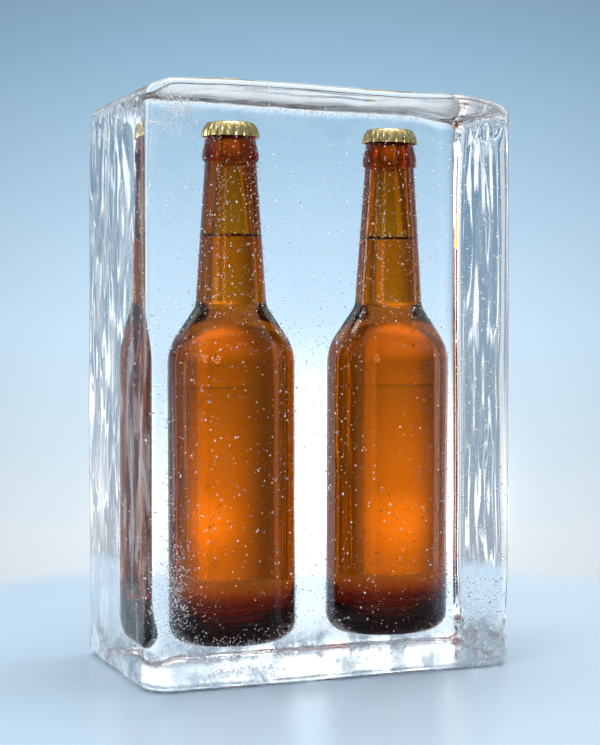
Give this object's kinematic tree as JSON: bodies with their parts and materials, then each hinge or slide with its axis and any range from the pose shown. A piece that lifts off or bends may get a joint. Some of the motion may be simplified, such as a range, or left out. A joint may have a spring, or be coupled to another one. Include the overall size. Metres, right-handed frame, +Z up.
{
  "type": "ice block with bottles frozen in it",
  "caption": "Standing block of clear ice with melted, rounded edges and capped amber glass bottles frozen inside it.",
  "frame": {"origin": "centre of the block's flat base, on the surface that it stands on", "axes": "+Z up along the bottles, -Y out of the broad front face, +X to the right of that face"},
  "size_m": [0.19, 0.104, 0.278],
  "materials": {
    "ice": "clear, melted smooth, frosted at the base and the top edge",
    "amber_glass": "clear amber glass, gloss",
    "beer": "clear golden liquid",
    "cap_steel": "gold lacquered tinplate, satin"
  },
  "bodies": {
    "root": {"ice_front": "ice", "ice_back": "ice", "left_bottle": "amber_glass", "right_bottle": "amber_glass", "left_beer": "beer", "right_beer": "beer", "left_cap": "cap_steel", "right_cap": "cap_steel"}
  },
  "joints": []
}
